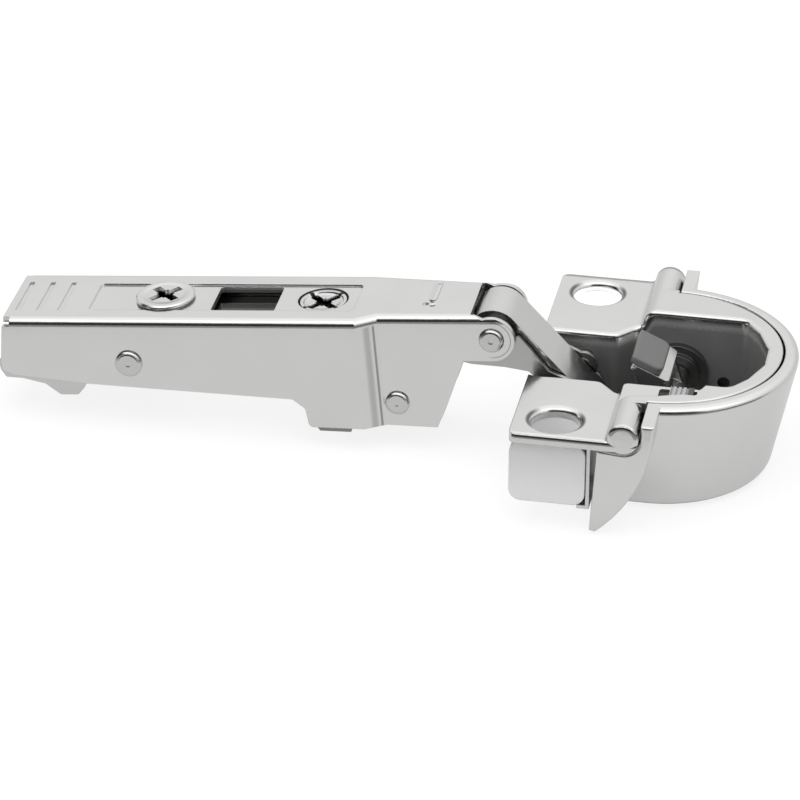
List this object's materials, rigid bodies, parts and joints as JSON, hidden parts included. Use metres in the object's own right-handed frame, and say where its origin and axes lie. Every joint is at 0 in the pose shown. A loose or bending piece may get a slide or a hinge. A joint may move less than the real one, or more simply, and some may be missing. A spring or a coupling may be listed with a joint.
{
  "type": "soft-close cabinet hinge",
  "caption": "Concealed cabinet hinge for a framed door: drawn cup with a half-round cover and screw wings, two folding links, a long clip-on arm and a soft-close damper, shown open.",
  "frame": {"origin": "middle between the two wing screws, on the underside of the wings", "axes": "+X along the hinge from the arm's tail to the cup's round nose, +Z out of the door's back, Y across the hinge along the line of screws"},
  "size_m": [0.1317, 0.0566, 0.0259],
  "materials": {
    "nickel_steel": "nickel-plated pressed steel, satin",
    "cover_steel": "nickel-plated deep-drawn steel, smooth satin",
    "pin_steel": "riveted steel pins, bright ends",
    "spring_steel": "hard-drawn spring wire",
    "zinc": "plated screw steel with a cross recess",
    "block_plastic": "light grey moulded plastic",
    "pad_plastic": "grey pad, slightly greenish",
    "dark_plastic": "black moulded plastic",
    "switch_plastic": "light grey ribbed slider"
  },
  "bodies": {
    "cup": {"cup_body": "nickel_steel", "cup_cover": "cover_steel", "near_frame_block": "block_plastic", "far_frame_block": "block_plastic", "near_block_clip": "nickel_steel", "far_block_clip": "nickel_steel", "outer_link_pin": "pin_steel", "inner_link_studs": "pin_steel", "near_closing_spring": "spring_steel", "far_closing_spring": "spring_steel", "rotary_damper": "nickel_steel", "damper_pin": "pin_steel", "switch_housing": "dark_plastic"},
    "switch": {"damper_switch": "switch_plastic"},
    "damper_arm": {"damper_lever": "nickel_steel", "damper_pad": "pad_plastic"},
    "outer_link": {"outer_link": "nickel_steel"},
    "inner_link": {"inner_link": "nickel_steel", "coupler_pin": "pin_steel"},
    "arm": {"arm_shell": "nickel_steel", "nose_pin": "pin_steel", "hook_pin": "pin_steel", "rear_pin": "pin_steel", "depth_washer": "nickel_steel"},
    "cam": {"depth_cam": "zinc"},
    "side_screw": {"side_adjust_screw": "zinc"},
    "carrier": {"adjust_carrier": "nickel_steel"},
    "clip": {"clip_lever": "nickel_steel", "clip_spring": "spring_steel"}
  },
  "joints": [
    {"name": "close_fold", "type": "hinge", "parent": "cup", "child": "outer_link", "pos_m": [0.001, 0, -0.0073], "axis": [0, 1, 0], "range_deg": [0, 76]},
    {"name": "arm_fold", "type": "hinge", "parent": "outer_link", "child": "arm", "pos_m": [-0.01311, 0, 0.00635], "axis": [0, 1, 0], "range_deg": [0, 20]},
    {"name": "inner_fold", "type": "hinge", "parent": "cup", "child": "inner_link", "pos_m": [0.00036, 0, -0.00281], "axis": [0, 1, 0], "range_deg": [0, 96]},
    {"name": "damper_press", "type": "hinge", "parent": "cup", "child": "damper_arm", "pos_m": [0.0152, 0, -0.0057], "axis": [0, 1, 0], "range_deg": [0, 22.5]},
    {"name": "damper_off", "type": "slide", "parent": "cup", "child": "switch", "axis": [-1, 0, 0], "range_m": [0, 0.0012]},
    {"name": "side_adjust", "type": "hinge", "parent": "arm", "child": "side_screw", "pos_m": [-0.04202, 0, 0.00611], "axis": [-0.0946, 0, 0.9955], "range_deg": [-360, 360]},
    {"name": "arm_tilt", "type": "hinge", "parent": "arm", "child": "carrier", "pos_m": [-0.07299, 0, -0.00306], "axis": [0, 1, 0], "range_deg": [-1.45, 1.45]},
    {"name": "depth_adjust", "type": "hinge", "parent": "arm", "child": "cam", "pos_m": [-0.06854, 0, 0.00409], "axis": [-0.0946, 0, 0.9955], "range_deg": [-150, 150]},
    {"name": "clip_release", "type": "hinge", "parent": "carrier", "child": "clip", "pos_m": [-0.07299, 0, -0.00306], "axis": [0, 1, 0], "range_deg": [0, 12], "stiffness_Nm_per_rad": 0.012, "springref_deg": -17.19}
  ],
  "couplings": [
    {"joint": "arm_fold", "follows": "close_fold", "ratio": 0.25566},
    {"joint": "inner_fold", "follows": "close_fold", "ratio": 1.2566},
    {"joint": "damper_press", "follows": "close_fold", "ratio": 0.28947},
    {"joint": "arm_tilt", "follows": "side_adjust", "ratio": 0.004}
  ]
}
